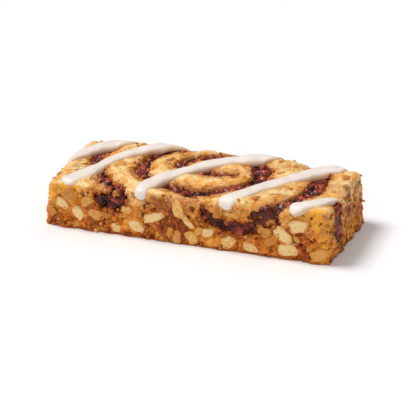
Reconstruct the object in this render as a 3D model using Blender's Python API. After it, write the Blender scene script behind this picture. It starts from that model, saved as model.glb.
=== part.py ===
"""Soft-baked granola bar: an oat slab with a swirl of dark filling and five lines of white icing.

Metres throughout. +X runs along the bar, +Y to its back, +Z up; the origin is the middle of the underside.
The dough, the oat flakes that stand out of it and the icing lines are one solid. The filling lies in
grooves of that solid, as separate strips that run down into the slab and come out at its sides.
"""

import math
import random

import bmesh
import bpy
import numpy as np
from mathutils import Matrix, Vector, noise

MM = 0.001

# Slab
LENGTH = 108.4 * MM
WIDTH = 38.8 * MM
HEIGHT_FRONT_LEFT = 16.6 * MM
HEIGHT_FRONT_RIGHT = 19.6 * MM
HEIGHT_BACK_LEFT = 18.2 * MM
HEIGHT_BACK_RIGHT = 19.4 * MM
BACK_CROWN = 2.0 * MM  # how far the middle of the back edge stands above its corners
TOP_RADIUS = 2.8 * MM  # rounding of the top edges
FOOT_RADIUS = 2.0 * MM  # rounding of the upright corners at the foot
LEFT_LEAN = 1.6 * MM  # how far the left end's top lies inside its foot
RIGHT_LEAN = 2.0 * MM  # the same for the back of the right end, whose front is upright
RIGHT_SKEW = 2.4 * MM  # how far the right end's back corner stands out past its front corner
END_REACH = 6  # the lean fades out towards the middle with this power of the distance from it
CELL = 2.5 * MM  # grid spacing of the slab's skin
FLAT = 0.001 * MM  # anything lower than this lies in the underside
CRAG_DEPTH = 0.75 * MM
CRAG_SPACING = 5.0 * MM
FINE_CRAGS = 2.1  # how many times closer the finer crags lie
FINE_CRAG_SHARE = 0.5  # their depth against the large ones'
TOP_CRAG_SHARE = 0.5  # depth of the crags on the pressed top against the sides'
TOP_TURN = (0.3, 0.9)  # upward share of the normal where the side ends and where the top begins
RIBBON_RISE = 0.9 * MM  # how far the dough puffs up between the turns of the swirl
RIBBON_SHOULDER = 4.5 * MM  # from the edge of a groove to the crest of the ribbon

# Filling
FILLING_RECESS = 0.8 * MM  # filling lies this far under the dough's surface
GAP = 0.3 * MM
KEEL_FLAT = 0.55  # flat share of a strip's floor
ABOVE_TOP = 6.0 * MM  # cutters reach this far above the slab
PATH_STEP = 2.6 * MM

# Each row of a swirl: x, y, width and height of its floor in millimetres, on the strip's middle line
SWIRLS = {
    "swirl_middle": (
        (10.4, 2.2, 2.4, 9), (4.0, 1.5, 3.4, 8), (-4.0, 2.0, 3.0, 8), (-11.0, 5.4, 4.2, 8),
        (-9.2, 9.4, 4.0, 8), (-3.0, 13.2, 3.4, 8), (6.2, 15.8, 2.8, 8), (14.4, 13.8, 4.8, 8),
        (19.4, 8.6, 6.6, 8), (20.8, 2.0, 5.6, 8), (17.0, -4.6, 4.0, 8), (11.0, -9.8, 3.6, 8),
        (5.2, -13.2, 4.4, 9), (-0.6, -14.2, 5.4, 9), (-6.6, -12.0, 4.8, 8), (-13.6, -10.2, 3.6, 8),
        (-20.2, -5.8, 3.6, 8), (-24.0, 0.6, 4.4, 8), (-24.4, 7.0, 4.2, 8), (-21.2, 12.4, 3.4, 8),
        (-16.4, 16.6, 3.2, 8), (-9.6, 20.0, 3.2, 8), (-5.0, 23.0, 3.0, 8),
    ),
    "swirl_right": (
        (31.8, 22.5, 2.8, 9), (36.8, 17.0, 3.0, 8), (41.4, 12.2, 4.6, 8), (42.0, 5.4, 5.8, 8),
        (42.2, -2.0, 6.0, 8), (39.2, -8.8, 4.6, 8), (35.6, -14.2, 4.6, 9), (31.6, -18.8, 5.0, 11),
        (27.6, -23.2, 5.2, 12.4),
    ),
    "swirl_left": (
        (-38.6, 22.5, 3.2, 9), (-41.6, 15.4, 4.6, 8), (-44.2, 9.6, 5.0, 8), (-44.2, 3.4, 3.6, 8),
        (-41.4, -1.6, 2.8, 8), (-37.8, -6.4, 3.0, 8), (-34.4, -10.6, 3.2, 9), (-30.6, -15.0, 4.2, 9.6),
        (-28.2, -18.6, 8.6, 9.8), (-28.0, -23.0, 11.0, 9.8),
    ),
    "swirl_end": ((47.6, -9.2, 1.8, 9), (53.0, -10.4, 3.4, 6.4), (59.8, -11.2, 4.2, 5.6)),
}

# Low on the front side the right swirl runs on as a seam: x, z and thickness in millimetres
SEAM_OWNER = "swirl_right"
SEAM_DEPTH = 3.2 * MM
SEAM_SIDES = 10
SEAM = (
    (6.4, 14.8, 2.0), (8.4, 12.2, 3.0), (12.8, 10.4, 3.8), (18.8, 9.8, 4.2), (24.4, 10.6, 4.2),
    (31.0, 14.6, 3.6),
)

# Icing lines: x, y and width in millimetres. A place past the edge lies down the side
ICING_THICKNESS = 1.4 * MM
ICING_LIFT = 0.6 * MM  # the icing lies this far above the slab, on the crests of its ribbons
ICING_SUNK = 0.4 * MM  # how far its underside lies inside the dough
ICING_FOOT = 0.7  # width of the underside against the line's own
ICING_POINTS = 6  # points across its dome
ICING_TIP = 0.35  # the tip's first ring lies this share of a step from its end
ICING_TAPER = 1.6  # steps over which an end swells to the full width
ICING_LINES = (
    ((-54.6, -4.0, 2.8), (-52.4, 3.0, 4.4), (-48.6, 10.6, 4.6), (-42.0, 16.0, 4.8), (-31.0, 20.6, 3.6)),
    ((-47.2, -18.2, 3.6), (-44.8, -13.4, 5.4), (-41.2, -6.6, 4.6), (-38.6, 0.2, 3.8), (-35.0, 6.0, 4.4),
     (-29.6, 12.0, 4.8), (-22.0, 17.0, 4.6), (-12.0, 21.0, 3.8)),
    ((-16.6, -20.6, 3.8), (-17.0, -15.8, 5.0), (-14.4, -9.2, 5.0), (-9.6, -3.0, 4.6), (-4.2, 2.8, 4.0),
     (2.2, 8.2, 4.8), (9.8, 13.0, 5.0), (18.0, 17.0, 4.8), (26.0, 20.8, 4.0)),
    ((14.6, -20.6, 3.8), (15.8, -17.0, 5.0), (20.2, -11.6, 5.0), (25.2, -4.8, 4.8), (30.6, 1.0, 4.8),
     (36.0, 7.6, 4.8), (41.8, 14.0, 5.2), (49.0, 18.6, 4.2)),
    ((38.4, -18.9, 3.6), (41.4, -17.4, 4.6), (45.2, -14.6, 4.4), (50.2, -9.4, 3.2), (53.0, -6.8, 1.6)),
)

# Oat flakes: the large ones on the front side, as x, z, length, width in millimetres and turn in degrees
FRONT_FLAKES = (
    (-48.2, 9.6, 5.2, 3.6, -30), (-42.2, 6.0, 7.0, 4.6, -65), (-34.8, 7.0, 5.4, 3.6, -20),
    (-26.4, 3.0, 5.6, 3.6, 10), (-19.4, 4.6, 7.4, 5.2, -30), (-12.2, 9.2, 7.4, 3.4, 22),
    (-2.6, 13.2, 6.4, 3.8, -75), (1.0, 8.6, 7.0, 2.4, -48), (8.2, 5.6, 5.2, 3.8, 15),
    (16.2, 3.6, 5.4, 4.2, 40), (24.2, 2.6, 8.6, 3.4, -6), (36.2, 9.2, 7.0, 4.4, -38),
    (37.8, 3.4, 8.2, 5.2, 8), (49.4, 3.6, 6.0, 4.0, 30), (41.8, 13.6, 7.0, 4.6, 12),
)
FLAKE_THICKNESS = 1.9 * MM
FLAKE_STANDING = 0.45  # share of its thickness by which a flake stands out
FLAKE_CROWN = 0.62  # size of its flat crown against its rim
FLAKE_SIZES = (4.8 * MM, 7.2 * MM)  # shortest and longest of the scattered flakes
FLAKE_SLENDERNESS = 0.66
FLAKE_SPACING = 8.4 * MM
FLAKE_TILT = math.radians(16)
FLAKE_EDGE_ROOM = 2.6 * MM  # least distance from a flake's middle to a groove, or to the foot
FLAKE_SIDES = 8
SIDE_ROWS = (4.6 * MM, 10.6 * MM)  # heights of the rows of flakes on the back and the ends
SIDE_SHIFT = 0.25  # how far a flake strays along its row, as a share of the spacing
SIDE_STRAY = 1.0 * MM  # how far it strays up or down
SIDE_TURN = 1.2  # most it is turned from lying level, in radians
TOP_ROWS = (-12.5 * MM, -4.0 * MM, 5.0 * MM, 12.5 * MM)
TOP_COLUMNS = (-48 * MM, 50 * MM, 11 * MM)  # first, last and spacing
TOP_STRAY = (2.5 * MM, 1.8 * MM)
TOP_SIZE = 0.85  # flakes on the top are this much smaller
ICING_ROOM = 0.3  # least distance from a flake to the icing against the flake's length
SEED = 11

DOUGH_COLOUR = (0.60, 0.30, 0.085, 1.0)
OAT_COLOUR = (0.74, 0.52, 0.26, 1.0)
ICING_COLOUR = (0.86, 0.80, 0.76, 1.0)
FILLING_COLOUR = (0.075, 0.017, 0.010, 1.0)
DOUGH_ROUGHNESS = 0.75
OAT_ROUGHNESS = 0.65
ICING_ROUGHNESS = 0.35
FILLING_ROUGHNESS = 0.4
CREASE = math.radians(45)  # edges sharper than this are shaded sharp
FACING = 0.7  # a normal with this share of a direction faces that way


def lerp(a, b, t):
    return a + (b - a) * t


def smooth_step(t):
    t = min(max(t, 0.0), 1.0)
    return t * t * (3.0 - 2.0 * t)


def clear_scene():
    for obj in list(bpy.data.objects):
        bpy.data.objects.remove(obj, do_unlink=True)


def make_material(name, colour, roughness):
    material = bpy.data.materials.new(name)
    material.use_nodes = True
    shader = material.node_tree.nodes["Principled BSDF"]
    shader.inputs["Base Color"].default_value = colour
    shader.inputs["Roughness"].default_value = roughness
    return material


def make_object(name, bm, material, collection=None):
    """An object with its normals facing out, in the given collection or the scene's own."""
    bmesh.ops.recalc_face_normals(bm, faces=bm.faces)
    mesh = bpy.data.meshes.new(name)
    bm.to_mesh(mesh)
    bm.free()
    mesh.materials.append(material)
    obj = bpy.data.objects.new(name, mesh)
    (collection or bpy.context.scene.collection).objects.link(obj)
    return obj


def smooth_curve(rows, step):
    """Points about one step apart on a smooth curve through the rows, with each row's sizes carried on."""
    rows = np.array(rows, float) * MM
    padded = np.vstack([2 * rows[0] - rows[1], rows, 2 * rows[-1] - rows[-2]])
    points = []
    for before, start, end, after in zip(padded, padded[1:], padded[2:], padded[3:]):
        count = max(2, round(math.dist(start[:2], end[:2]) / step))
        for t in np.arange(count) / count:
            bend = 2 * before - 5 * start + 4 * end - after
            twist = 3 * start - before - 3 * end + after
            points.append(start + 0.5 * t * (end - before + t * (bend + t * twist)))
    return np.array(points + [rows[-1]])


def directions(points):
    """Unit tangents of a row of points."""
    tangents = np.gradient(points, axis=0)
    return tangents / np.linalg.norm(tangents, axis=1, keepdims=True)


SWIRL_POINTS = np.vstack([smooth_curve(rows, PATH_STEP / 2) for rows in SWIRLS.values()])


def nearest_groove(x, y):
    """Distance in plan from the nearest groove's edge, negative inside it, and the height of its floor."""
    away = np.hypot(SWIRL_POINTS[:, 0] - x, SWIRL_POINTS[:, 1] - y) - SWIRL_POINTS[:, 2] / 2
    nearest = away.argmin()
    return float(away[nearest]), float(SWIRL_POINTS[nearest, 3])


def slab_height(x, y):
    """Height of the top before its edges are rounded: the bar rose unevenly in its tin."""
    u = x / LENGTH + 0.5
    v = y / WIDTH + 0.5
    front = lerp(HEIGHT_FRONT_LEFT, HEIGHT_FRONT_RIGHT, u)
    back = lerp(HEIGHT_BACK_LEFT, HEIGHT_BACK_RIGHT, u)
    return lerp(front, back, v) + BACK_CROWN * v * 4 * u * (1 - u)


def end_shift(x, y, z):
    """How far the lean and skew of the nearer end move a point along the bar."""
    nearness = (2 * x / LENGTH) ** END_REACH
    low = 0.5 - z / HEIGHT_FRONT_RIGHT
    if x < 0:
        return -nearness * LEFT_LEAN * low
    return nearness * (RIGHT_SKEW * y / WIDTH + RIGHT_LEAN * low * (0.5 + y / WIDTH))


def rounded(point, height):
    """Where a point on the square-edged slab goes when its top edges and upright corners are rounded."""
    radius = lerp(FOOT_RADIUS, TOP_RADIUS, smooth_step(point.z / height))
    inner = Vector((
        math.copysign(min(abs(point.x), LENGTH / 2 - radius), point.x),
        math.copysign(min(abs(point.y), WIDTH / 2 - radius), point.y),
        min(point.z, height - radius),
    ))
    outward = point - inner
    if outward.length > 0.0:
        point = inner + outward.normalized() * radius
    return point + Vector((end_shift(*point), 0.0, 0.0))


def relief(point, normal):
    """How far the skin stands out: crags all over, and ribbons of dough between the turns of the swirl."""
    crag = noise.noise(point / CRAG_SPACING)
    crag += FINE_CRAG_SHARE * noise.noise(point * FINE_CRAGS / CRAG_SPACING)
    ribbon = smooth_step(nearest_groove(point.x, point.y)[0] / RIBBON_SHOULDER)
    top_share = smooth_step((normal.z - TOP_TURN[0]) / (TOP_TURN[1] - TOP_TURN[0]))
    return CRAG_DEPTH * crag * lerp(1.0, TOP_CRAG_SHARE, top_share) + RIBBON_RISE * ribbon * top_share


def add_box_grid(bm, counts):
    """A closed box of quads, -1 to 1 along X and Y and 0 to 1 along Z, with that many cells along each."""
    vertices = {}

    def vertex(i, j, k):
        key = (i, j, k)
        if key not in vertices:
            vertices[key] = bm.verts.new((2 * i / counts[0] - 1, 2 * j / counts[1] - 1, k / counts[2]))
        return vertices[key]

    for axis in range(3):
        a, b = [n for n in range(3) if n != axis]
        for side in (0, counts[axis]):
            for m in range(counts[a]):
                for n in range(counts[b]):
                    corners = []
                    for dm, dn in ((0, 0), (1, 0), (1, 1), (0, 1)):
                        place = [side] * 3
                        place[a] = m + dm
                        place[b] = n + dn
                        corners.append(vertex(*place))
                    bm.faces.new(corners)


def slab_bmesh(shrink=0.0):
    """The slab's skin with its relief, moved inwards by shrink. The underside stays one flat face."""
    counts = [round(size / CELL) for size in (LENGTH, WIDTH, HEIGHT_FRONT_RIGHT)]
    bm = bmesh.new()
    add_box_grid(bm, counts)
    for v in bm.verts:
        flat = Vector((v.co.x * LENGTH / 2, v.co.y * WIDTH / 2, 0.0))
        height = slab_height(flat.x, flat.y)
        v.co = rounded(flat + Vector((0.0, 0.0, v.co.z * height)), height)
    bmesh.ops.recalc_face_normals(bm, faces=bm.faces)
    bm.normal_update()
    normals = [v.normal.copy() for v in bm.verts]
    for v, normal in zip(bm.verts, normals):
        if v.co.z < FLAT:
            if len(v.link_faces) == sum(f.calc_center_median().z < FLAT for f in v.link_faces):
                continue
            normal = Vector((normal.x, normal.y, 0.0)).normalized()
        v.co += normal * (relief(v.co, normal) - shrink)
    under = [f for f in bm.faces if max(v.co.z for v in f.verts) < FLAT]
    bmesh.ops.dissolve_faces(bm, faces=under)
    return bm


def loft(bm, rings):
    """A closed skin through rings of equal numbers of points, with a fan at each end."""
    loops = [[bm.verts.new(p) for p in ring] for ring in rings]
    count = len(rings[0])
    for first, second in zip(loops, loops[1:]):
        for n in range(count):
            m = (n + 1) % count
            bm.faces.new((first[n], first[m], second[m], second[n]))
    for loop, ring in ((loops[0], rings[0]), (loops[-1], rings[-1])):
        middle = bm.verts.new(sum(map(Vector, ring), Vector()) / count)
        for n in range(count):
            bm.faces.new((loop[n], loop[(n + 1) % count], middle))


def strip_bmesh(rows, gap):
    """An upright strip of filling along its path, with a rounded keel, reaching above the slab."""
    points = smooth_curve(rows, PATH_STEP)
    tangents = directions(points[:, :2])
    points[0, :2] -= tangents[0] * gap
    points[-1, :2] += tangents[-1] * gap
    rings = []
    for (x, y, width, floor), (tx, ty) in zip(points, tangents):
        half = width / 2 + gap
        floor -= gap
        top = slab_height(x, y) + ABOVE_TOP
        keel = half * KEEL_FLAT
        profile = ((half, top), (half, floor + half), (keel, floor), (-keel, floor), (-half, floor + half),
                   (-half, top))
        rings.append([(x - ty * across, y + tx * across, z) for across, z in profile])
    bm = bmesh.new()
    loft(bm, rings)
    return bm


def seam_bmesh(gap):
    """The seam in the front side: a flattened tube that reaches out past the slab's face."""
    points = smooth_curve(SEAM, PATH_STEP)
    tangents = directions(points[:, :2])
    points[0, :2] -= tangents[0] * gap
    middle = -WIDTH / 2
    rings = []
    for (x, z, thickness), (tx, tz) in zip(points, tangents):
        half = thickness / 2 + gap
        ring = []
        for turn in np.arange(SEAM_SIDES) * math.tau / SEAM_SIDES:
            across = half * math.cos(turn)
            y = middle + (SEAM_DEPTH + gap) * math.sin(turn)
            ring.append((x - tz * across, y, z + tx * across))
        rings.append(ring)
    bm = bmesh.new()
    loft(bm, rings)
    return bm


def unrolled(distance, half, radius):
    """Place and drop of a point that far along the top from its middle, on over the rounded edge."""
    flat = half - radius
    past = max(abs(distance) - flat, 0.0)
    angle = min(past / radius, math.pi / 2)
    down = past - radius * angle
    place = min(abs(distance), flat) + radius * math.sin(angle)
    return math.copysign(place, distance), radius * (1 - math.cos(angle)) + down


def on_top(x, y):
    """Point of the smooth top at these distances along it, which may run over the edges."""
    px, drop_x = unrolled(x, LENGTH / 2, TOP_RADIUS)
    py, drop_y = unrolled(y, WIDTH / 2, TOP_RADIUS)
    height = slab_height(px, py) - drop_x - drop_y
    return Vector((px + end_shift(px, py, height), py, height))


def top_normal(x, y):
    step = 0.1 * MM
    along = on_top(x + step, y) - on_top(x - step, y)
    across = on_top(x, y + step) - on_top(x, y - step)
    return along.cross(across).normalized()


def icing_bmesh(rows):
    """One line of icing: a domed ribbon with round ends that lies on the dough and hangs over its edges."""
    points = smooth_curve(rows, PATH_STEP)
    profile = [(math.cos(a), math.sin(a)) for a in np.linspace(0, math.pi, ICING_POINTS)]
    rings = []
    for n, (x, y, width) in enumerate(points):
        steps_from_end = min(n, len(points) - 1 - n) + ICING_TIP
        size = math.sqrt(min(steps_from_end / ICING_TAPER, 1.0))
        half = width / 2 * size
        base = on_top(x, y)
        normal = top_normal(x, y)
        after = on_top(*points[min(n + 1, len(points) - 1), :2])
        before = on_top(*points[max(n - 1, 0), :2])
        side = normal.cross(after - before).normalized()
        lift = ICING_LIFT * smooth_step(normal.z)
        ring = [base + side * half * c + normal * (lift + ICING_THICKNESS * size * s) for c, s in profile]
        ring.append(base - side * half * ICING_FOOT + normal * (lift - ICING_SUNK))
        ring.append(base + side * half * ICING_FOOT + normal * (lift - ICING_SUNK))
        rings.append(ring)
    bm = bmesh.new()
    loft(bm, rings)
    return bm


def flake_bmesh(centre, normal, length, width, turn):
    """A rolled oat pressed into the skin: a low dome over its rim, and a point inside the dough."""
    upright = Vector((0, 0, 1)) if abs(normal.z) < FACING else Vector((0, 1, 0))
    right = upright.cross(normal).normalized()
    frame = Matrix((right, normal.cross(right), normal)).transposed()
    frame = frame @ Matrix.Rotation(turn, 3, "Z")
    bm = bmesh.new()
    rim, crown = [], []
    for n in range(FLAKE_SIDES):
        angle = math.tau * n / FLAKE_SIDES
        place = Vector((math.cos(angle) * length / 2, math.sin(angle) * width / 2, 0.0))
        rim.append(bm.verts.new(centre + frame @ place))
        place = place * FLAKE_CROWN + Vector((0, 0, FLAKE_THICKNESS * FLAKE_STANDING))
        crown.append(bm.verts.new(centre + frame @ place))
    root = bm.verts.new(centre - normal * FLAKE_THICKNESS)
    for n in range(FLAKE_SIDES):
        m = (n + 1) % FLAKE_SIDES
        bm.faces.new((rim[n], rim[m], crown[m], crown[n]))
        bm.faces.new((rim[m], rim[n], root))
    bm.faces.new(crown)
    return bm


def near_seam(x, z):
    """Whether a place on the front side is within reach of the seam."""
    points = smooth_curve(SEAM, PATH_STEP)
    away = np.hypot(points[:, 0] - x, points[:, 1] - z) - points[:, 2] / 2
    return away.min() < FLAKE_EDGE_ROOM


def side_flakes(draw):
    """Centre, normal, length, width and turn of each flake on a side: placed ones, then scattered ones."""
    for x, z, length, width, turn in FRONT_FLAKES:
        place = Vector((x * MM, -WIDTH / 2, z * MM))
        yield place, Vector((0, -1, 0)), length * MM, width * MM, math.radians(turn)
    faces = (
        (Vector((0, WIDTH / 2, 0)), Vector((0, 1, 0)), Vector((1, 0, 0)), LENGTH),
        (Vector((-LENGTH / 2, 0, 0)), Vector((-1, 0, 0)), Vector((0, 1, 0)), WIDTH),
        (Vector((LENGTH / 2, 0, 0)), Vector((1, 0, 0)), Vector((0, 1, 0)), WIDTH),
    )
    for middle, normal, along, span in faces:
        columns = round((span - 2 * TOP_RADIUS) / FLAKE_SPACING)
        for column in range(columns):
            for row, height in enumerate(SIDE_ROWS):
                stray = draw.uniform(-SIDE_SHIFT, SIDE_SHIFT)
                shift = (column + 0.5 + 0.5 * row + stray) / (columns + 0.5) - 0.5
                place = middle + along * shift * (span - 2 * TOP_RADIUS)
                place.z = height + draw.uniform(-SIDE_STRAY, SIDE_STRAY)
                length = draw.uniform(*FLAKE_SIZES)
                yield place, normal, length, length * FLAKE_SLENDERNESS, draw.uniform(-SIDE_TURN, SIDE_TURN)


def top_flakes(draw):
    """Flakes lying in the crests of the ribbons, on a loose grid over the top."""
    for x in np.arange(*TOP_COLUMNS):
        for y in TOP_ROWS:
            px = x + draw.uniform(-TOP_STRAY[0], TOP_STRAY[0])
            py = y + draw.uniform(-TOP_STRAY[1], TOP_STRAY[1])
            length = draw.uniform(*FLAKE_SIZES) * TOP_SIZE
            place = on_top(px, py) + Vector((0, 0, RIBBON_RISE))
            yield place, top_normal(px, py), length, length * FLAKE_SLENDERNESS, draw.uniform(0, math.tau)


def near_icing(place, length):
    for rows in ICING_LINES:
        points = smooth_curve(rows, PATH_STEP)
        away = np.hypot(points[:, 0] - place.x, points[:, 1] - place.y) - points[:, 2] / 2
        if away.min() < length * ICING_ROOM:
            return True
    return False


def flake_fits(place, normal, length):
    """False where a flake would reach into filling or under the foot, or lie under icing."""
    distance, floor = nearest_groove(place.x, place.y)
    clear = distance > length / 2
    if normal.z > FACING:
        return clear and not near_icing(place, length)
    if place.z < FLAKE_EDGE_ROOM:
        return False
    if normal.y < -FACING and near_seam(place.x, place.z):
        return False
    return clear or place.z < floor - length / 2


def add_toppings(oat, icing):
    """A collection of every flake and icing line, to be fused to the slab."""
    toppings = bpy.data.collections.new("toppings")
    bpy.context.scene.collection.children.link(toppings)
    draw = random.Random(SEED)
    for place, normal, length, width, turn in [*side_flakes(draw), *top_flakes(draw)]:
        tilt = Matrix.Rotation(draw.uniform(-FLAKE_TILT, FLAKE_TILT), 3, "X")
        tilt = tilt @ Matrix.Rotation(draw.uniform(-FLAKE_TILT, FLAKE_TILT), 3, "Y")
        if not flake_fits(place, normal, length):
            continue
        leaning = (tilt @ normal).normalized()
        make_object("flake", flake_bmesh(place, leaning, length, width, turn), oat, toppings)
    for rows in ICING_LINES:
        make_object("icing", icing_bmesh(rows), icing, toppings)
    return toppings


def apply_boolean(obj, operation, other=None, collection=None, solver="EXACT"):
    """Applies one Boolean and removes what it used."""
    modifier = obj.modifiers.new(operation.lower(), "BOOLEAN")
    modifier.operation = operation
    modifier.solver = solver
    if solver == "EXACT":
        modifier.material_mode = "TRANSFER"
    if collection:
        modifier.operand_type = "COLLECTION"
        modifier.collection = collection
    else:
        modifier.object = other
    bpy.context.view_layer.objects.active = obj
    bpy.ops.object.modifier_apply(modifier=modifier.name)
    used = list(collection.objects) if collection else [other]
    for item in used:
        bpy.data.objects.remove(item, do_unlink=True)
    if collection:
        bpy.data.collections.remove(collection)


def swirl_object(name, gap, material):
    """A swirl that reaches past the slab all round, grown by the gap."""
    swirl = make_object(name, strip_bmesh(SWIRLS[name], gap), material)
    if name == SEAM_OWNER:
        apply_boolean(swirl, "UNION", other=make_object("seam", seam_bmesh(gap), material))
    return swirl


def keep_largest_shell(obj):
    """Fills the small hollows that fusing sealed and drops scraps, also those that hang on by one edge."""
    bm = bmesh.new()
    bm.from_mesh(obj.data)
    bmesh.ops.triangulate(bm, faces=bm.faces)
    left = set(bm.faces)
    shells = []
    while left:
        front = [left.pop()]
        shell = set(front)
        while front:
            face = front.pop()
            for edge in face.edges:
                if len(edge.link_faces) > 2:
                    continue
                beyond = [f for f in edge.link_faces if f in left]
                left.difference_update(beyond)
                shell.update(beyond)
                front.extend(beyond)
        shells.append(shell)
    shells.sort(key=len)
    spare = [f for shell in shells[:-1] for f in shell]
    bmesh.ops.delete(bm, geom=spare, context="FACES")
    bm.to_mesh(obj.data)
    bm.free()


def make_fillings(material):
    """The swirls, each trimmed to lie just under the slab's skin."""
    for name in SWIRLS:
        filling = swirl_object(name, 0.0, material)
        inner = make_object("inner", slab_bmesh(shrink=FILLING_RECESS), material)
        apply_boolean(filling, "INTERSECT", other=inner)
        keep_largest_shell(filling)
        filling.data.shade_smooth()
        filling.data.set_sharp_from_angle(angle=CREASE)


def make_bar(dough, oat, icing):
    """The slab with its grooves cut, then fused with its flakes and icing."""
    bar = make_object("bar", slab_bmesh(), dough)
    for name in SWIRLS:
        groove = swirl_object(name, GAP, dough)
        groove.name = "groove"
        apply_boolean(bar, "DIFFERENCE", other=groove)
    apply_boolean(bar, "UNION", collection=add_toppings(oat, icing), solver="MANIFOLD")
    keep_largest_shell(bar)
    bar.data.shade_smooth()
    bar.data.set_sharp_from_angle(angle=CREASE)


def main():
    clear_scene()
    dough = make_material("dough", DOUGH_COLOUR, DOUGH_ROUGHNESS)
    oat = make_material("oat", OAT_COLOUR, OAT_ROUGHNESS)
    icing = make_material("icing", ICING_COLOUR, ICING_ROUGHNESS)
    filling = make_material("filling", FILLING_COLOUR, FILLING_ROUGHNESS)
    make_fillings(filling)
    make_bar(dough, oat, icing)


main()
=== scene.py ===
import math

import bmesh
import bpy
import numpy as np
from mathutils import Matrix, Vector, kdtree, noise


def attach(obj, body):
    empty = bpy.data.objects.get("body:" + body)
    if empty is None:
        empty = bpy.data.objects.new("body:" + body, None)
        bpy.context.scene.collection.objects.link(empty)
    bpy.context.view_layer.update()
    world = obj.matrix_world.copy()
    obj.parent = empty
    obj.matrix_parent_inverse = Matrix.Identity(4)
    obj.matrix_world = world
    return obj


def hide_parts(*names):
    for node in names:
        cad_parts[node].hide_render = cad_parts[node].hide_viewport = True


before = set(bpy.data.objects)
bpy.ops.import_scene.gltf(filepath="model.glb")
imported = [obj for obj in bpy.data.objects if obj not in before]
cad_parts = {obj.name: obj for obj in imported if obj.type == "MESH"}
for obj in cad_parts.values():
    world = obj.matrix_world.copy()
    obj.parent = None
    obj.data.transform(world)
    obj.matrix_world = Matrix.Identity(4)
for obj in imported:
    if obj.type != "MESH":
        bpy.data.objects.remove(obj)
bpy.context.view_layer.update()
mm = 0.001
print("frame loaded:", sorted(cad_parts))


# small helpers

def linearColour(hexValue):
    parts = [int(hexValue[n:n + 2], 16) / 255 for n in (1, 3, 5)]
    return [p / 12.92 if p <= 0.04045 else ((p + 0.055) / 1.055) ** 2.4 for p in parts] + [1.0]


def setNode(node, settings, links):
    # a setting is one of the node's own values, a socket's value, or "stops" for the colours of a ramp
    for name, value in settings.items():
        if name == "stops":
            elements = node.color_ramp.elements
            for n, (position, colour) in enumerate(value):
                element = elements[n] if n < 2 else elements.new(position)
                element.position = position
                element.color = linearColour(colour)
        elif isinstance(name, str) and hasattr(node, name):
            setattr(node, name, value)
        else:
            node.inputs[name].default_value = value
    for name, source in links.items():
        node.id_data.links.new(source, node.inputs[name])


def addNode(tree, kind, settings={}, links={}):
    node = tree.nodes.new("ShaderNode" + kind)
    setNode(node, settings, links)
    return node


def smoothStep(low, high, value):
    t = np.clip((value - low) / (high - low), 0, 1)
    return t * t * (3 - 2 * t)


def mix(a, b, t):
    return a + (b - a) * t


def noiseAt(points, size, seed=0):
    # one octave of Perlin noise, about -1 to 1, with features as large as size
    return np.array([noise.noise((x + seed * 31.7, y, z)) for x, y, z in (points / size).tolist()])


def smoothCurve(rows, step):
    # Catmull-Rom through the rows, which are in millimetres; the sizes on a row are carried along
    rows = np.array(rows, float) * mm
    padded = np.vstack([2 * rows[0] - rows[1], rows, 2 * rows[-1] - rows[-2]])
    points = []
    for before, start, end, after in zip(padded, padded[1:], padded[2:], padded[3:]):
        count = max(2, round(math.dist(start[:2], end[:2]) / step))
        for t in np.arange(count) / count:
            bend = 2 * before - 5 * start + 4 * end - after
            twist = 3 * start - before - 3 * end + after
            points.append(start + 0.5 * t * (end - before + t * (bend + t * twist)))
    return np.array(points + [rows[-1]])


def nearestOnCurve(x, y, curve):
    # distance from the curve's edge and the nearest curve point, for every x and y
    distances, nearest = [], []
    for part in np.array_split(np.arange(len(x)), max(1, len(x) // 8000)):
        away = np.hypot(curve[None, :, 0] - x[part, None], curve[None, :, 1] - y[part, None])
        away -= curve[None, :, 2] / 2
        nearest.append(away.argmin(1))
        distances.append(away.min(1))
    return np.concatenate(distances), np.concatenate(nearest)


def treeOf(points):
    tree = kdtree.KDTree(len(points))
    for n, point in enumerate(points.tolist()):
        tree.insert(point, n)
    tree.balance()
    return tree


def vertexNormals(points, quads):
    a, b, c, d = (points[quads[:, n]] for n in range(4))
    faceNormals = np.cross(c - a, d - b)
    normals = np.zeros_like(points)
    for n in range(4):
        np.add.at(normals, quads[:, n], faceNormals)
    return normals / np.maximum(np.linalg.norm(normals, axis=1, keepdims=True), 1e-12)


def buildMesh(name, points, faces, material, attributes=None):
    mesh = bpy.data.meshes.new(name)
    if isinstance(faces, np.ndarray):
        mesh.vertices.add(len(points))
        mesh.vertices.foreach_set("co", np.asarray(points, np.float32).ravel())
        mesh.loops.add(faces.size)
        mesh.loops.foreach_set("vertex_index", faces.astype(np.int32).ravel())
        mesh.polygons.add(len(faces))
        mesh.polygons.foreach_set("loop_start", np.arange(len(faces), dtype=np.int32) * faces.shape[1])
        mesh.update(calc_edges=True)
    else:
        mesh.from_pydata(np.asarray(points).tolist(), [], faces)
    mesh.validate()
    mesh.shade_smooth()
    for key, values in (attributes or {}).items():
        layer = mesh.attributes.new(key, "FLOAT", "POINT")
        layer.data.foreach_set("value", np.asarray(values, np.float32))
    mesh.materials.append(material)
    piece = bpy.data.objects.new(name, mesh)
    bpy.context.scene.collection.objects.link(piece)
    return piece


def mount(piece, slot, *nodes):
    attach(piece, "root")
    if nodes:
        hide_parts(*nodes)
    print(piece.name + ":", len(piece.data.polygons), "faces")


# the bar's form, the same as its solid has

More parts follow.
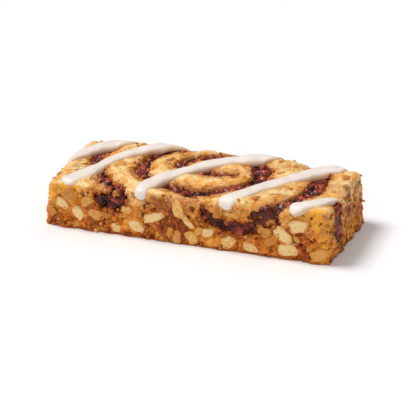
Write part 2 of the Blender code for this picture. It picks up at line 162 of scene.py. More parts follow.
slab = {
    "length": 108.4 * mm,
    "width": 38.8 * mm,
    "frontLeft": 16.6 * mm,  # heights of the top over the four corners
    "frontRight": 19.6 * mm,
    "backLeft": 18.2 * mm,
    "backRight": 19.4 * mm,
    "backCrown": 2.0 * mm,
    "topRadius": 2.8 * mm,
    "footRadius": 2.0 * mm,
    "leftLean": 1.6 * mm,
    "rightLean": 2.0 * mm,
    "rightSkew": 2.4 * mm,
    "cell": 0.36 * mm,  # one cell for each pixel of the picture
    "cragDepth": 0.75 * mm,
    "cragSpacing": 5.0 * mm,
    "ribbonRise": 0.9 * mm,
    "ribbonShoulder": 4.5 * mm,
}

# each row: x, y, width and height of the floor, in millimetres
swirls = {
    "swirl_middle": (
        (10.4, 2.2, 2.4, 9), (4.0, 1.5, 3.4, 8), (-4.0, 2.0, 3.0, 8), (-11.0, 5.4, 4.2, 8),
        (-9.2, 9.4, 4.0, 8), (-3.0, 13.2, 3.4, 8), (6.2, 15.8, 2.8, 8), (14.4, 13.8, 4.8, 8),
        (19.4, 8.6, 6.6, 8), (20.8, 2.0, 5.6, 8), (17.0, -4.6, 4.0, 8), (11.0, -9.8, 3.6, 8),
        (5.2, -13.2, 4.4, 9), (-0.6, -14.2, 5.4, 9), (-6.6, -12.0, 4.8, 8), (-13.6, -10.2, 3.6, 8),
        (-20.2, -5.8, 3.6, 8), (-24.0, 0.6, 4.4, 8), (-24.4, 7.0, 4.2, 8), (-21.2, 12.4, 3.4, 8),
        (-16.4, 16.6, 3.2, 8), (-9.6, 20.0, 3.2, 8), (-5.0, 23.0, 3.0, 8),
    ),
    "swirl_right": (
        (31.8, 22.5, 2.8, 9), (36.8, 17.0, 3.0, 8), (41.4, 12.2, 4.6, 8), (42.0, 5.4, 5.8, 8),
        (42.2, -2.0, 6.0, 8), (39.2, -8.8, 4.6, 8), (35.6, -14.2, 4.6, 9), (31.6, -18.8, 5.0, 11),
        (27.6, -23.2, 5.2, 12.4),
    ),
    "swirl_left": (
        (-38.6, 22.5, 3.2, 9), (-41.6, 15.4, 4.6, 8), (-44.2, 9.6, 5.0, 8), (-44.2, 3.4, 3.6, 8),
        (-41.4, -1.6, 2.8, 8), (-37.8, -6.4, 3.0, 8), (-34.4, -10.6, 3.2, 9), (-30.6, -15.0, 4.2, 9.6),
        (-28.2, -18.6, 8.6, 9.8), (-28.0, -23.0, 11.0, 9.8),
    ),
    "swirl_end": ((47.6, -9.2, 1.8, 9), (53.0, -10.4, 3.4, 6.4), (59.8, -11.2, 4.2, 5.6)),
}
# x, z and thickness of the seam that the right swirl runs on into, low on the front
seam = (
    (6.4, 14.8, 2.0), (8.4, 12.2, 3.0), (12.8, 10.4, 3.8), (18.8, 9.8, 4.2), (24.4, 10.6, 4.2),
    (31.0, 14.6, 3.6),
)
icingLines = (
    ((-54.6, -4.0, 2.8), (-52.4, 3.0, 4.4), (-48.6, 10.6, 4.6), (-42.0, 16.0, 4.8), (-31.0, 20.6, 3.6)),
    ((-47.4, -18.2, 4.6), (-44.8, -13.4, 6.2), (-41.2, -6.6, 4.6), (-38.6, 0.2, 3.8), (-35.0, 6.0, 4.4),
     (-29.6, 12.0, 4.8), (-22.0, 17.0, 4.6), (-12.0, 21.0, 3.8)),
    ((-16.6, -20.6, 3.8), (-17.0, -15.8, 5.0), (-14.4, -9.2, 5.0), (-9.6, -3.0, 4.6), (-4.2, 2.8, 4.0),
     (2.2, 8.2, 4.8), (9.8, 13.0, 5.0), (18.0, 17.0, 4.8), (26.0, 20.8, 4.0)),
    ((14.6, -20.6, 3.8), (15.8, -17.0, 5.0), (20.2, -11.6, 5.0), (25.2, -4.8, 4.8), (30.6, 1.0, 4.8),
     (36.0, 7.6, 4.8), (41.8, 14.0, 5.2), (49.0, 18.6, 4.2)),
    ((38.4, -18.9, 3.6), (41.4, -17.4, 4.6), (45.2, -14.6, 4.4), (50.2, -9.4, 3.2), (53.0, -6.8, 1.6)),
)
curveStep = 0.8 * mm
swirlCurves = {name: smoothCurve(rows, curveStep) for name, rows in swirls.items()}
swirlPoints = np.vstack(list(swirlCurves.values()))
swirlOwner = np.concatenate([np.full(len(curve), n) for n, curve in enumerate(swirlCurves.values())])
seamPoints = smoothCurve(seam, curveStep)
icingPoints = np.vstack([smoothCurve(rows, curveStep) for rows in icingLines])


def slabHeight(x, y):
    u = x / slab["length"] + 0.5
    v = y / slab["width"] + 0.5
    front = mix(slab["frontLeft"], slab["frontRight"], u)
    back = mix(slab["backLeft"], slab["backRight"], u)
    return mix(front, back, v) + slab["backCrown"] * v * 4 * u * (1 - u)


def endShift(x, y, z):
    nearness = (2 * x / slab["length"]) ** 6
    low = 0.5 - z / slab["frontRight"]
    right = slab["rightSkew"] * y / slab["width"] + slab["rightLean"] * low * (0.5 + y / slab["width"])
    return nearness * np.where(x < 0, -slab["leftLean"] * low, right)


def roundSkin(points, heights):
    # rounds the square block's top edges and upright corners, then leans its ends
    radius = mix(slab["footRadius"], slab["topRadius"], smoothStep(0, 1, points[:, 2] / heights))
    inner = np.stack([
        np.sign(points[:, 0]) * np.minimum(np.abs(points[:, 0]), slab["length"] / 2 - radius),
        np.sign(points[:, 1]) * np.minimum(np.abs(points[:, 1]), slab["width"] / 2 - radius),
        np.minimum(points[:, 2], heights - radius),
    ], axis=1)
    outward = points - inner
    far = np.linalg.norm(outward, axis=1, keepdims=True)
    moved = np.where(far > 1e-9, inner + outward / np.maximum(far, 1e-9) * radius[:, None], points)
    moved[:, 0] += endShift(*moved.T)
    return moved


def unrolled(distance, half, radius):
    past = np.maximum(np.abs(distance) - (half - radius), 0)
    angle = np.minimum(past / radius, math.pi / 2)
    place = np.minimum(np.abs(distance), half - radius) + radius * np.sin(angle)
    return np.sign(distance) * place, radius * (1 - np.cos(angle)) + past - radius * angle


def onTop(x, y):
    px, dropX = unrolled(x, slab["length"] / 2, slab["topRadius"])
    py, dropY = unrolled(y, slab["width"] / 2, slab["topRadius"])
    height = slabHeight(px, py) - dropX - dropY
    return np.stack([px + endShift(px, py, height), py, height], axis=-1)


def topNormal(x, y):
    step = 0.1 * mm
    along = onTop(x + step, y) - onTop(x - step, y)
    across = onTop(x, y + step) - onTop(x, y - step)
    normal = np.cross(along, across)
    return normal / np.linalg.norm(normal, axis=-1, keepdims=True)


def blockGrid(cell):
    # quads over five sides of a box, -1 to 1 along X and Y, 0 to 1 along Z; the underside stays open
    counts = [round(size / cell) for size in (slab["length"], slab["width"], slab["frontRight"])]
    keys, quads = [], []
    base = 0
    for axis, side in ((0, 0), (0, counts[0]), (1, 0), (1, counts[1]), (2, counts[2])):
        a, b = [n for n in range(3) if n != axis]
        m, n = np.meshgrid(np.arange(counts[a] + 1), np.arange(counts[b] + 1), indexing="ij")
        key = np.zeros((m.size, 3), int)
        key[:, axis], key[:, a], key[:, b] = side, m.ravel(), n.ravel()
        index = np.arange(m.size).reshape(m.shape) + base
        quad = np.stack([index[:-1, :-1], index[1:, :-1], index[1:, 1:], index[:-1, 1:]], -1)
        quad = quad.reshape(-1, 4)
        flip = (side > 0) == (axis == 1)
        quads.append(quad[:, ::-1] if flip else quad)
        keys.append(key)
        base += m.size
    keys, inverse = np.unique(np.vstack(keys), axis=0, return_inverse=True)
    unit = keys / np.array(counts, float)
    unit[:, :2] = unit[:, :2] * 2 - 1
    return unit, inverse.reshape(-1)[np.vstack(quads)]


# the skin of the slab: where it is, which way it faces and where filling comes to the surface

unit, skinQuads = blockGrid(slab["cell"])
blockX, blockY = unit[:, 0] * slab["length"] / 2, unit[:, 1] * slab["width"] / 2
blockHeight = slabHeight(blockX, blockY)
skin = roundSkin(np.stack([blockX, blockY, unit[:, 2] * blockHeight], axis=1), blockHeight)
skinNormals = vertexNormals(skin, skinQuads)
atFoot = skin[:, 2] < 1e-6
skinNormals[atFoot, 2] = 0
skinNormals /= np.linalg.norm(skinNormals, axis=1, keepdims=True)
skinTree = treeOf(skin)
topShare = smoothStep(0.3, 0.9, skinNormals[:, 2])
frontShare = smoothStep(0.5, 0.9, -skinNormals[:, 1])
endShare = smoothStep(0.5, 0.9, np.abs(skinNormals[:, 0]))
print("skin:", len(skin), "points")

edge = {
    "wander": 0.8 * mm,  # how far the filling's edge strays from a clean line, in long waves
    "wanderSize": 3.2 * mm,
    "crumble": 0.55 * mm,  # and in short ones
    "crumbleSize": 1.2 * mm,
    "soft": 0.4 * mm,
    "closed": (  # x, y, z and reach in millimetres of places where dough has closed over the filling
        (-33.8, -17.6, 18.4, 3.1), (-30.4, -19.2, 17.2, 2.0), (-27.4, -19.4, 17.0, 1.5),
        (31.6, -19.4, 12.6, 2.0), (27.2, -19.4, 11.5, 1.2),
    ),
    # x, z and reach of filling that ran over its groove's edge
    "oozed": ((-34.0, 13.8, 2.0), (-31.6, 11.4, 2.0), (26.0, 15.2, 1.5)),
    "spread": 0.35 * mm,  # it has oozed this far over both edges everywhere, and further at the ends
    "endSpread": 0.8 * mm,
}
stray = edge["wander"] * noiseAt(skin, edge["wanderSize"], 1)
stray += edge["crumble"] * noiseAt(skin, edge["crumbleSize"], 2)
grooveDistance, nearestSwirl = nearestOnCurve(skin[:, 0], skin[:, 1], swirlPoints)
floorHere = swirlPoints[nearestSwirl, 3] + stray * 2
grooveDistance = grooveDistance - edge["spread"] - edge["endSpread"] * endShare
for oozeX, oozeZ, reach in edge["oozed"]:
    away = np.hypot(skin[:, 0] - oozeX * mm, skin[:, 2] - oozeZ * mm) - reach * mm
    grooveDistance = np.where(frontShare > 0.5, np.minimum(grooveDistance, away), grooveDistance)
seamDistance = nearestOnCurve(skin[:, 0], skin[:, 2] + 0.5 * mm, seamPoints)[0] - edge["spread"]
seamDistance = np.where(frontShare > 0.5, seamDistance, 1)
grooveShare = smoothStep(edge["soft"], -edge["soft"], grooveDistance + stray)
grooveShare *= smoothStep(-edge["soft"], edge["soft"], skin[:, 2] - floorHere)
seamShare = smoothStep(edge["soft"], -edge["soft"], seamDistance + stray)
closed = [np.linalg.norm(skin - np.array(row[:3]) * mm, axis=1) - row[3] * mm for row in edge["closed"]]
closed = np.min(closed, axis=0) + stray
fillShare = np.maximum(grooveShare, seamShare) * smoothStep(-edge["soft"], edge["soft"], closed)
seamOwner = list(swirls).index("swirl_right")
swirlHere = np.where(seamShare > grooveShare, seamOwner, swirlOwner[nearestSwirl])
fillDistance = np.maximum(grooveDistance, floorHere - skin[:, 2])
fillDistance = np.maximum(np.minimum(fillDistance, seamDistance) + stray, -closed)
icingDistance = nearestOnCurve(skin[:, 0], skin[:, 1], icingPoints)[0]
underIcing = smoothStep(0.2 * mm, -0.8 * mm, icingDistance) * smoothStep(0.2, 0.6, skinNormals[:, 2])
print("filling shows on", round(float(fillShare.mean()) * 100, 1), "per cent of the skin")


# materials

def newMaterial(name, *attributes):
    # after the shader come the place on the object and the mesh's attributes, each as a socket
    material = bpy.data.materials.new(name)
    material.use_nodes = True
    tree = material.node_tree
    place = addNode(tree, "TexCoord").outputs["Object"]
    values = [addNode(tree, "Attribute", {"attribute_name": key}).outputs["Fac"] for key in attributes]
    return material, tree, tree.nodes["Principled BSDF"], place, *values


def softBakedDough():
    # soft-baked oat dough, pressed in a tin and cut: golden crumb on top, browner and stickier where it
    # was cut, with painted shade in its crevices and pits, a red-brown stain where the filling melted into
    # it and painted shade beside the icing lines
    material, tree, shader, place, tone, top, crevice, stainAndShade, gold, rim = newMaterial(
        "soft baked oat dough", "tone", "top", "crevice", "stainAndShade", "gold", "rim")
    # size in millimetres, detail and roughness of the mottling, specks, ground cinnamon, syrup and grain
    looks = (3.2, 3, 0.6), (1.1, 2, 0.7), (0.7, 1, 0.5), (1.6, 2, 0.5), (0.6, 3, 0.7)
    mottle, speck, cinnamon, syrup, grain = (
        addNode(tree, "TexNoise", {"Scale": 1 / (size * mm), "Detail": detail, "Roughness": roughness},
                {"Vector": place}).outputs["Fac"]
        for size, detail, roughness in looks)
    bits = addNode(tree, "TexVoronoi", {"Scale": 1 / (0.9 * mm)}, {"Vector": place}).outputs["Color"]
    level = tone
    for amount, source in ((0.85, mottle), (0.2, speck), (0.12, bits)):
        settings = {"operation": "MULTIPLY_ADD", 1: amount}
        level = addNode(tree, "Math", settings, {0: source, 2: level}).outputs[0]
    topStops = (0.14, "#9A4808"), (0.36, "#CE7A20"), (0.56, "#F6B054"), (0.88, "#FFDC9C")
    sideStops = (0.22, "#5E1C02"), (0.42, "#A84804"), (0.62, "#E07814"), (0.88, "#FCB042")
    topRamp = addNode(tree, "ValToRGB", {"stops": topStops}, {"Fac": level}).outputs[0]
    sideRamp = addNode(tree, "ValToRGB", {"stops": sideStops}, {"Fac": level}).outputs[0]
    colour = addNode(tree, "Mix", {"data_type": "RGBA"}, {0: top, 6: sideRamp, 7: topRamp}).outputs[2]
    dust, shine, glaze = (
        addNode(tree, "MapRange", {"From Min": low, "From Max": high, "To Min": least, "To Max": most},
                {"Value": source}).outputs[0]
        for source, low, high, least, most in (
            (cinnamon, 0.62, 0.74, 0, 0.22), (syrup, 0.4, 0.6, 0.2, 0.55), (syrup, 0.47, 0.6, 0, 0.42)))
    # the crevice tint is painted shade, darkest in the crevices, pits and grooves of the relief
    tints = (gold, "#FFB23E"), (stainAndShade, "#943E08"), (rim, "#A84808"), (crevice, "#6A2403"), (dust, "#94501C")
    for share, hexValue in tints:
        settings = {"data_type": "RGBA", 7: linearColour(hexValue)}
        colour = addNode(tree, "Mix", settings, {0: share, 6: colour}).outputs[2]
    bump = addNode(tree, "Bump", {"Strength": 0.35, "Distance": 0.18 * mm}, {"Height": grain})
    setNode(shader, {
        "Coat Roughness": 0.12,
        "Specular IOR Level": 0.12,
        "Subsurface Weight": 0.4,
        "Subsurface Radius": (1.0, 0.4, 0.12),
        "Subsurface Scale": 1.4 * mm,
    }, {"Base Color": colour, "Roughness": shine, "Coat Weight": glaze, "Normal": bump.outputs[0]})
    return material


def rolledOat():
    # steamed and rolled oats, soaked in syrup: pale and silky, with a darker crease and a bran edge
    material, tree, shader, place, tone, bran = newMaterial("rolled oat flakes", "tone", "bran")
    settings = {"Scale": 1 / (1.3 * mm), "Detail": 3, "Roughness": 0.65}
    cloud = addNode(tree, "TexNoise", settings, {"Vector": place}).outputs["Fac"]
    level = addNode(tree, "Math", {"operation": "MULTIPLY_ADD", 1: 0.75}, {0: cloud, 2: tone})
    stops = (0.2, "#A25412"), (0.5, "#CE8838"), (0.84, "#E8B260"), (1.0, "#F8D698")
    ramp = addNode(tree, "ValToRGB", {"stops": stops}, {"Fac": level.outputs[0]})
    settings = {"data_type": "RGBA", 7: linearColour("#DE8A34")}
    edged = addNode(tree, "Mix", settings, {0: bran, 6: ramp.outputs[0]})
    bump = addNode(tree, "Bump", {"Strength": 0.6, "Distance": 0.3 * mm}, {"Height": cloud})
    setNode(shader, {
        "Specular IOR Level": 0.25,
        "Roughness": 0.42,
        "Subsurface Weight": 0.25,
        "Subsurface Radius": (1.0, 0.6, 0.3),
        "Subsurface Scale": 0.9 * mm,
    }, {"Base Color": edged.outputs[2], "Normal": bump.outputs[0]})
    return material


def toastedCrumbs():
    # crumbs of the same dough, toasted where they stand out: matt, from pale gold to burnt orange
    material, tree, shader, place, tone = newMaterial("toasted dough crumbs", "tone")
    settings = {"Scale": 1 / (0.5 * mm), "Detail": 2, "Roughness": 0.6}
    grain = addNode(tree, "TexNoise", settings, {"Vector": place}).outputs["Fac"]
    level = addNode(tree, "Math", {"operation": "MULTIPLY_ADD", 1: 0.3}, {0: grain, 2: tone})
    stops = (0.1, "#963E08"), (0.4, "#C86C1A"), (0.7, "#E49A42"), (1.0, "#F8D08A")
    ramp = addNode(tree, "ValToRGB", {"stops": stops}, {"Fac": level.outputs[0]})
    bump = addNode(tree, "Bump", {"Strength": 0.4, "Distance": 0.1 * mm}, {"Height": grain})
    setNode(shader, {"Specular IOR Level": 0.2, "Roughness": 0.5},
            {"Base Color": ramp.outputs[0], "Normal": bump.outputs[0]})
    return material


def cinnamonFilling():
    # cinnamon and brown sugar baked to a grainy paste: dark red-brown with small wet glints, wettest
    # where it has run out over an edge
    material, tree, shader, place, tone, wet = newMaterial("baked cinnamon filling", "tone", "wet")
    settings = {"Scale": 1 / (0.9 * mm), "Detail": 3, "Roughness": 0.65}
    clump = addNode(tree, "TexNoise", settings, {"Vector": place}).outputs["Fac"]
    level = addNode(tree, "Math", {"operation": "MULTIPLY_ADD", 1: 0.6}, {0: clump, 2: tone})
    stops = (0.38, "#1A0402"), (0.6, "#440E08"), (0.82, "#782016"), (1.0, "#AE4E28")
    ramp = addNode(tree, "ValToRGB", {"stops": stops}, {"Fac": level.outputs[0]})
    shine = addNode(tree, "MapRange", {"From Max": 0.3, "To Min": 0.5, "To Max": 0.1}, {"Value": wet})
    bump = addNode(tree, "Bump", {"Strength": 0.6, "Distance": 0.3 * mm}, {"Height": clump})
    setNode(shader, {"Specular IOR Level": 0.42, "Specular Tint": linearColour("#FFE2D4")},
            {"Base Color": ramp.outputs[0], "Roughness": shine.outputs[0], "Normal": bump.outputs[0]})
    return material


def setIcing():
    # powdered-sugar icing, piped and set: warm white and satin; the sides of each line are tinted towards
    # the dough, partly where it is thin enough for dough to show and partly as painted shade on its dome
    material, tree, shader, place, thinEdgeAndShade = newMaterial("set sugar icing", "thinEdgeAndShade")
    cloud = addNode(tree, "TexNoise", {"Scale": 1 / (5 * mm), "Detail": 2}, {"Vector": place})
    stops = (0.3, "#ECDDD1"), (0.7, "#F6EAE1")
    ramp = addNode(tree, "ValToRGB", {"stops": stops}, {"Fac": cloud.outputs["Fac"]})
    settings = {"data_type": "RGBA", 7: linearColour("#DDB58C")}
    showing = addNode(tree, "Mix", settings, {0: thinEdgeAndShade, 6: ramp.outputs[0]})
    fine = addNode(tree, "TexNoise", {"Scale": 1 / (0.9 * mm), "Detail": 2}, {"Vector": place})
    settings = {"Strength": 0.15, "Distance": 0.1 * mm}
    bump = addNode(tree, "Bump", settings, {"Height": fine.outputs["Fac"]})
    setNode(shader, {
        "Roughness": 0.38,
        "IOR": 1.48,
        "Subsurface Weight": 0.2,
        "Subsurface Radius": (1.0, 0.8, 0.7),
        "Subsurface Scale": 1.0 * mm,
    }, {"Base Color": showing.outputs[2], "Normal": bump.outputs[0]})
    return material


def meltedSugar():
    # grains of sugar half melted into the crust, clear and glossy: tiny pale glints
    material, tree, shader, place = newMaterial("half melted sugar grains")
    cloud = addNode(tree, "TexNoise", {"Scale": 1 / (1.5 * mm), "Detail": 1}, {"Vector": place})
    stops = (0.35, "#E89C48"), (0.65, "#FFDCA4")
    ramp = addNode(tree, "ValToRGB", {"stops": stops}, {"Fac": cloud.outputs["Fac"]})
    setNode(shader, {"Roughness": 0.12, "Subsurface Weight": 0.3, "Subsurface Scale": 0.3 * mm},
            {"Base Color": ramp.outputs[0]})
    return material


def studioPaper():
    # seamless white paper, matt, with a faint unevenness in its whiteness
    material, tree, shader, place = newMaterial("white studio paper")
    cloud = addNode(tree, "TexNoise", {"Scale": 1 / (60 * mm), "Detail": 1}, {"Vector": place})
    stops = (0.3, "#F8F8F8"), (0.7, "#FAFAFA")
    ramp = addNode(tree, "ValToRGB", {"stops": stops}, {"Fac": cloud.outputs["Fac"]})
    setNode(shader, {"Roughness": 0.9, "Specular IOR Level": 0.1}, {"Base Color": ramp.outputs[0]})
    return material


doughMaterial = softBakedDough()
sugarMaterial = meltedSugar()
oatMaterial = rolledOat()
crumbMaterial = toastedCrumbs()
fillingMaterial = cinnamonFilling()
icingMaterial = setIcing()
paperMaterial = studioPaper()
print("materials ready")


# where each oat flake lies, before the dough closes round them

flakes = {
    "seed": 7,
    "front": (  # x, z, length and width in millimetres, turn in degrees and paleness, on the front side
        (-48.2, 9.6, 5.2, 3.6, -30, 0.6), (-42.2, 6.0, 7.0, 4.6, -65, 0.65),
        (-34.8, 7.0, 5.4, 3.6, -20, 0.3), (-26.4, 3.0, 5.6, 3.6, 10, 0.55),
        (-19.4, 4.6, 7.4, 5.2, -30, 0.6), (-12.2, 9.2, 7.4, 3.4, 22, 0.7),
        (-2.6, 13.2, 6.4, 3.8, -75, 0.5), (1.0, 8.6, 7.0, 2.4, -48, 0.55),
        (8.2, 5.6, 5.2, 3.8, 15, 0.6), (16.2, 3.6, 5.4, 4.2, 40, 0.5),
        (24.2, 2.6, 8.6, 3.4, -6, 0.55), (36.2, 9.2, 7.0, 4.4, -38, 0.65),
        (37.8, 3.4, 8.2, 5.2, 8, 0.6), (49.4, 3.6, 6.0, 4.0, 30, 0.35),
        (41.8, 13.6, 7.0, 4.6, 12, 0.65), (-38.0, 11.8, 4.6, 3.4, 40, 0.3),
        (-45.6, 13.2, 6.0, 4.4, -70, 0.15), (-22.6, 10.4, 4.0, 3.0, 10, 0.45),
        (2.4, 3.2, 5.0, 3.8, -60, 0.45), (31.6, 5.8, 5.0, 3.2, 30, 0.15),
        (29.4, 9.6, 4.6, 3.4, -20, 0.2),
    ),
    "top": ((29.6, -8.8, 6.4, 3.8, 25, 0.7), (47.0, -15.6, 4.6, 3.4, 10, 0.7)),  # x, y and the same
    "sideCount": 110,
    "topCount": 16,
    "frontShare": 0.3,  # the front has its placed flakes, and this share of the scattered ones
    "placedSize": 1.12,  # the placed ones lie partly under the dough, so they are this much larger
    "placedTilt": (0.03, 0.13),
    "lengths": (2.6 * mm, 5.6 * mm),
    "slenderness": (0.5, 0.75),
    "thickness": 0.8 * mm,
    "onEdge": 0.22,  # share of the flakes that stand on edge in the dough
    "onEdgeAtEnds": 0.75,
    "rings": 5,
    "segments": 24,
    "squareness": 0.92,  # 1 is an ellipse, less is squarer
    "room": 0.62,  # least distance between two flakes, as a share of their lengths
}


def flakeAxes(n, turn, tilt, aboutLength):
    normal = Vector(skinNormals[n])
    upright = Vector((0, 0, 1)) if abs(normal.z) < 0.7 else Vector((0, 1, 0))
    right = upright.cross(normal).normalized()
    basis = Matrix((right, normal.cross(right), normal)).transposed()
    tilted = Matrix.Rotation(tilt, 3, "X" if aboutLength else "Y")
    return np.array(basis @ Matrix.Rotation(turn, 3, "Z") @ tilted)


def placeFlakes():
    draw = np.random.default_rng(flakes["seed"])
    placed = []
    size = flakes["placedSize"] * mm
    for x, z, length, width, turn, paleness in flakes["front"]:
        n = skinTree.find((x * mm, -slab["width"] / 2, z * mm))[1]
        tilt = draw.uniform(*flakes["placedTilt"])
        placed.append((n, length * size, width * size, math.radians(turn), tilt, paleness))
    for x, y, length, width, turn, paleness in flakes["top"]:
        n = skinTree.find(onTop(x * mm, y * mm))[1]
        placed.append((n, length * mm, width * mm, math.radians(turn), 0.05, paleness))
    pool = draw.permutation(len(skin))
    facing = np.abs(skinNormals[:, :2]).max(1)  # less on upright corners, where flakes would stick out
    sides = [n for n in pool if topShare[n] < 0.2 and facing[n] > 0.93 and skin[n, 2] > 1.4 * mm]
    tops = [n for n in pool if topShare[n] > 0.9]
    for candidates, count in ((sides, flakes["sideCount"]), (tops, flakes["topCount"])):
        onTopNow = candidates is tops
        added = 0
        for n in candidates:
            if added == count:
                break
            length = draw.uniform(*flakes["lengths"]) * (0.8 if onTopNow else 1)
            clear = length * (0.5 if onTopNow else 0.3)
            if fillDistance[n] < clear or (onTopNow and icingDistance[n] < length * 0.4):
                continue
            if frontShare[n] > 0.5 and draw.random() > flakes["frontShare"]:
                continue
            room = flakes["room"] / 2
            if any(math.dist(skin[n], skin[p[0]]) < room * (length + p[1]) for p in placed):
                continue
            turn = draw.uniform(0, math.tau)
            steep = draw.random() < flakes["onEdgeAtEnds" if endShare[n] > 0.5 else "onEdge"]
            tilt = draw.uniform(1.0, 1.4) if steep and not onTopNow else draw.uniform(0, 0.25)
            if steep and endShare[n] > 0.5:
                turn = math.pi / 2 + draw.normal(0, 0.25)  # the layers there show as upright slivers
            width = length * draw.uniform(*flakes["slenderness"])
            paleness = draw.beta(1.2, 2.8) * (1 if frontShare[n] < 0.5 else 0.5)
            placed.append((n, length, width, turn, tilt, paleness))
            added += 1
    print("flakes placed:", len(placed))
    return placed


placedFlakes = placeFlakes()


# the dough

dough = {
    "seed": 3,
    "lumpSize": 4.6 * mm,
    "lumpHeight": 0.7 * mm,
    "swellSize": 3.0 * mm,
    "pitSize": 1.9 * mm,
    "pitDepth": 0.55 * mm,
    "crumbSize": 1.8 * mm,
    "crumbHeight": 0.42 * mm,
    "grainSize": 0.8 * mm,
    "grainHeight": 0.2 * mm,
    "crumblySize": 6.5 * mm,  # crumbly places lie among smoother, stickier ones this far apart
    "topRelief": 0.4,  # the top is pressed and baked smoother than the cut sides
    "creaseHeight": 0.3 * mm,  # creases that run along the ribbons on the top
    "layerHeight": 0.3 * mm,  # upright layers at the ends
    "trench": 2.4 * mm,  # how deep the dough drops under the filling
    "stainReach": 3.4 * mm,
    "rimReach": 1.3 * mm,
    "footBrown": 2.4 * mm,
    # browned or golden places, and on the top also painted shade beside the icing lines: x and z on the
    # front, y and z on the right end, x and y on the top, and the reach, all in millimetres, then how
    # strong
    "frontBrown": (
        (-50.5, 3.6, 5.0, 0.9), (-34.0, 4.8, 5.5, 0.7), (-5.0, 5.0, 11.0, 1.0), (-8.6, 15.0, 5.6, 0.85),
        (7.0, 9.0, 3.4, 0.8), (18.4, 6.2, 3.4, 0.5), (33.4, 5.6, 3.0, 0.5), (45.6, 12.0, 3.4, 0.5),
        (44.6, 2.6, 3.6, 0.6), (-31.0, 14.6, 6.0, 0.7), (30.0, 9.0, 4.0, 0.4), (-16.0, 3.0, 4.0, 0.7),
    ),
    "frontGold": (
        (-53.0, 14.0, 10.0, 1.0), (-47.0, 15.5, 7.0, 0.9), (47.6, 16.0, 7.0, 1.0),
        (50.6, 9.4, 5.5, 0.9), (50.4, 3.0, 5.5, 1.0),
        (-24.0, 12.0, 4.5, 0.4), (12.0, 3.6, 3.0, 0.6), (-46.6, 9.0, 4.0, 0.5), (22.0, 15.4, 6.0, 0.4),
    ),
    "endBrown": (
        (2.5, 17.5, 3.6, 1.0), (0.0, 12.5, 3.0, 0.8), (-9.0, 4.0, 5.0, 0.6), (10.0, 8.0, 5.0, 0.35),
        (-15.0, 12.0, 3.5, 0.5),
    ),
    # on the top, the patches beside the icing lines are painted shade; the others are browned places
    "topBrownAndShade": (
        (53.0, 3.0, 3.2, 0.9), (53.4, 8.0, 2.6, 0.5), (47.4, 1.0, 7.0, 0.35),
        (-31.0, 8.5, 4.0, 0.5), (-25.0, 12.0, 3.6, 0.5), (30.0, -4.6, 4.5, 0.4),
        (25.0, -9.0, 3.6, 0.35), (33.0, 14.5, 4.0, 0.5), (-37.0, -12.5, 4.0, 0.7),
        (0.0, 8.0, 4.0, 0.25), (26.0, 13.0, 5.0, 0.35), (-48.0, -4.5, 3.0, 0.5), (5.0, 18.5, 4.0, 0.4),
    ),
}


def lumps(size, draw):
    # rounded cells with crevices between: height and crevice, 0 to 1, and a random value for each cell
    area = 2 * (slab["length"] + slab["width"]) * slab["frontRight"] + slab["length"] * slab["width"]
    chosen = draw.choice(len(skin), int(area / size ** 2), replace=False)
    seeds = treeOf(skin[chosen] + draw.normal(0, size * 0.15, (len(chosen), 3)))
    found = [seeds.find_n(point, 2) for point in skin.tolist()]
    owner = np.array([near[0][1] for near in found])
    first = np.array([near[0][2] for near in found])
    second = np.array([near[1][2] for near in found])
    height = 1 - np.clip(first / (size * 0.8), 0, 1) ** 2
    crevice = 1 - smoothStep(0, size * 0.3, second - first)
    return height, crevice, draw.random(len(chosen))[owner]


def patchShare(rows, first, second, facing):
    # soft, uneven patches round the listed places on one face
    total = np.zeros(len(skin))
    ragged = 0.5 * noiseAt(skin, 3 * mm, 41) + 0.35 * noiseAt(skin, 1.2 * mm, 42)
    for a, b, reach, strength in rows:
        away = np.hypot(first - a * mm, second - b * mm) / (reach * mm) + ragged
        total = np.maximum(total, strength * smoothStep(1.0, 0.35, away))
    return total * facing


def flakeSeats():
    # inside each flake that lies flat the skin is level, and round it runs a crevice
    seat, groove = np.zeros(len(skin)), np.zeros(len(skin))
    owner = np.full(len(skin), -1)
    for number, (n, length, width, turn, tilt, paleness) in enumerate(placedFlakes):
        if tilt > 0.5:
            continue
        axes = flakeAxes(n, turn, tilt, True)
        near = np.array([item[1] for item in skinTree.find_range(skin[n], length * 0.75)])
        offset = (skin[near] - skin[n]) @ axes
        away = np.hypot(offset[:, 0] / (length / 2), offset[:, 1] / (width / 2))
        inside = smoothStep(1.25, 0.95, away)
        owner[near[inside > 0.05]] = number
        seat[near] = np.maximum(seat[near], inside)
        groove[near] = np.maximum(groove[near], np.exp(-((away - 1.08) / 0.13) ** 2))
    return seat, groove, owner


